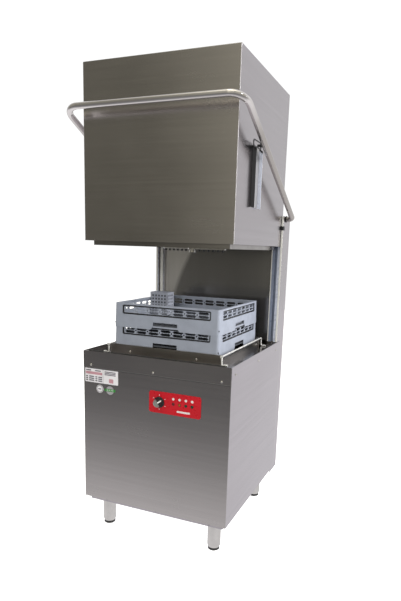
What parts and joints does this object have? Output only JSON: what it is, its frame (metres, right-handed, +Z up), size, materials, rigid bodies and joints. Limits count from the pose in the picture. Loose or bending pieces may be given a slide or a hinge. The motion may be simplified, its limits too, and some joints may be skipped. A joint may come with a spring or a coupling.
{
  "type": "commercial dishwasher",
  "caption": "Hood-type commercial dishwasher with a lifting hood and wrap-round handle, rear column, wash tank, spray arms, plate racks and levelling feet.",
  "frame": {"origin": "on the floor, at the middle of the whole object's footprint with the hood up", "axes": "+X to the machine's right seen from the front, +Y to the back (the front faces -Y), +Z up"},
  "size_m": [0.7664, 0.8501, 1.97],
  "materials": {
    "brushed_steel": "horizontal brushed stainless sheet",
    "satin_steel": "satin stainless sheet",
    "inner_steel": "stainless sheet in the wash chamber",
    "polished_steel": "polished stainless tube",
    "rail_aluminium": "drawn channel",
    "rack_plastic": "moulded blue-grey plastic",
    "black_plastic": "moulded black plastic",
    "red_panel": "printed red overlay",
    "red_lens": "lamp lens",
    "amber_lens": "lamp lens",
    "green_lens": "lamp lens",
    "spring_steel": "coiled wire",
    "motor_grey": "moulded pump and finned motor housing",
    "box_grey": "painted sheet"
  },
  "bodies": {
    "cabinet": {"base_frame": "satin_steel", "side_panel_left": "satin_steel", "side_panel_right": "satin_steel", "column_shell": "satin_steel", "column_cap": "satin_steel", "rinse_boiler": "satin_steel", "front_panel": "brushed_steel", "top_fascia": "brushed_steel", "chamber_back_panel": "inner_steel", "wash_tank": "inner_steel", "tank_strainer": "inner_steel", "rack_support": "inner_steel", "rack_guide_left": "polished_steel", "rack_guide_right": "polished_steel", "tank_heater": "polished_steel", "lower_manifold": "polished_steel", "upper_manifold": "polished_steel", "wash_riser": "polished_steel", "foot_sleeve_front_left": "polished_steel", "foot_sleeve_front_right": "polished_steel", "foot_sleeve_rear_left": "polished_steel", "foot_sleeve_rear_right": "polished_steel", "guide_rail_left": "rail_aluminium", "guide_rail_right": "rail_aluminium", "shaft_bush_left": "black_plastic", "shaft_bush_right": "black_plastic", "control_panel": "red_panel", "pilot_lamp_1": "red_lens", "pilot_lamp_2": "amber_lens", "pilot_lamp_3": "green_lens", "pilot_lamp_4": "green_lens", "spring_left": "spring_steel", "spring_right": "spring_steel", "wash_pump": "motor_grey", "pump_motor": "motor_grey", "electrical_box": "box_grey"},
    "hood": {"hood_shell": "brushed_steel", "hood_rear_wall": "satin_steel", "hood_skirt": "inner_steel", "hood_bracket_left": "satin_steel", "hood_bracket_right": "satin_steel", "hood_carriage_left": "black_plastic", "hood_carriage_right": "black_plastic"},
    "handle": {"handle_bar": "polished_steel", "cross_shaft": "satin_steel", "lift_roller_left": "black_plastic", "lift_roller_right": "black_plastic"},
    "knob": {"selector_knob": "black_plastic"},
    "overflow": {"overflow_pipe": "polished_steel"},
    "upper_wash": {"upper_wash_arm": "polished_steel"},
    "upper_rinse": {"upper_rinse_arm": "polished_steel"},
    "lower_wash": {"lower_wash_arm": "polished_steel"},
    "lower_rinse": {"lower_rinse_arm": "polished_steel"},
    "foot_front_left": {"foot_pad_front_left": "black_plastic"},
    "foot_front_right": {"foot_pad_front_right": "black_plastic"},
    "foot_rear_left": {"foot_pad_rear_left": "black_plastic"},
    "foot_rear_right": {"foot_pad_rear_right": "black_plastic"},
    "lower_rack": {"rack_lower": "rack_plastic"},
    "upper_rack": {"rack_upper": "rack_plastic"},
    "basket": {"cutlery_basket": "rack_plastic"}
  },
  "joints": [
    {"name": "hood_slide", "type": "slide", "parent": "cabinet", "child": "hood", "axis": [0, 0, 1], "range_m": [-0.46, 0], "stiffness_N_per_m": 60, "springref_m": 4},
    {"name": "handle_pivot", "type": "hinge", "parent": "cabinet", "child": "handle", "pos_m": [0, 0.3457, 1.418], "axis": [1, 0, 0], "range_deg": [0, 49], "deforming": ["spring_left", "spring_right"]},
    {"name": "knob_turn", "type": "hinge", "parent": "cabinet", "child": "knob", "pos_m": [0.031, -0.3484, 0.643], "axis": [0, -1, 0], "range_deg": [-60, 240]},
    {"name": "overflow_lift", "type": "slide", "parent": "cabinet", "child": "overflow", "axis": [0, 0, 1], "range_m": [0, 0.035]},
    {"name": "upper_wash_spin", "type": "hinge", "parent": "cabinet", "child": "upper_wash", "pos_m": [0, 0.0157, 1.289], "axis": [0, 0, 1], "continuous": true},
    {"name": "upper_rinse_spin", "type": "hinge", "parent": "cabinet", "child": "upper_rinse", "pos_m": [0, 0.0157, 1.27], "axis": [0, 0, 1], "continuous": true},
    {"name": "lower_wash_spin", "type": "hinge", "parent": "cabinet", "child": "lower_wash", "pos_m": [0, 0.0157, 0.773], "axis": [0, 0, 1], "continuous": true},
    {"name": "lower_rinse_spin", "type": "hinge", "parent": "cabinet", "child": "lower_rinse", "pos_m": [0, 0.0157, 0.793], "axis": [0, 0, 1], "continuous": true},
    {"name": "foot_front_left_turn", "type": "hinge", "parent": "cabinet", "child": "foot_front_left", "pos_m": [-0.263, -0.2673, 0], "axis": [0, 0, 1], "continuous": true},
    {"name": "foot_front_right_turn", "type": "hinge", "parent": "cabinet", "child": "foot_front_right", "pos_m": [0.263, -0.2673, 0], "axis": [0, 0, 1], "continuous": true},
    {"name": "foot_rear_left_turn", "type": "hinge", "parent": "cabinet", "child": "foot_rear_left", "pos_m": [-0.263, 0.2957, 0], "axis": [0, 0, 1], "continuous": true},
    {"name": "foot_rear_right_turn", "type": "hinge", "parent": "cabinet", "child": "foot_rear_right", "pos_m": [0.263, 0.2957, 0], "axis": [0, 0, 1], "continuous": true},
    {"name": "stack_lift", "type": "slide", "parent": "cabinet", "child": "lower_rack", "axis": [0, 0, 1], "range_m": [0, 0.04]},
    {"name": "rack_lift", "type": "slide", "parent": "lower_rack", "child": "upper_rack", "axis": [0, 0, 1], "range_m": [0, 0.09]},
    {"name": "basket_lift", "type": "slide", "parent": "upper_rack", "child": "basket", "axis": [0, 0, 1], "range_m": [0, 0.05]}
  ],
  "couplings": [
    {"joint": "handle_pivot", "follows": "hood_slide", "rad_per_m": -1.8482}
  ]
}
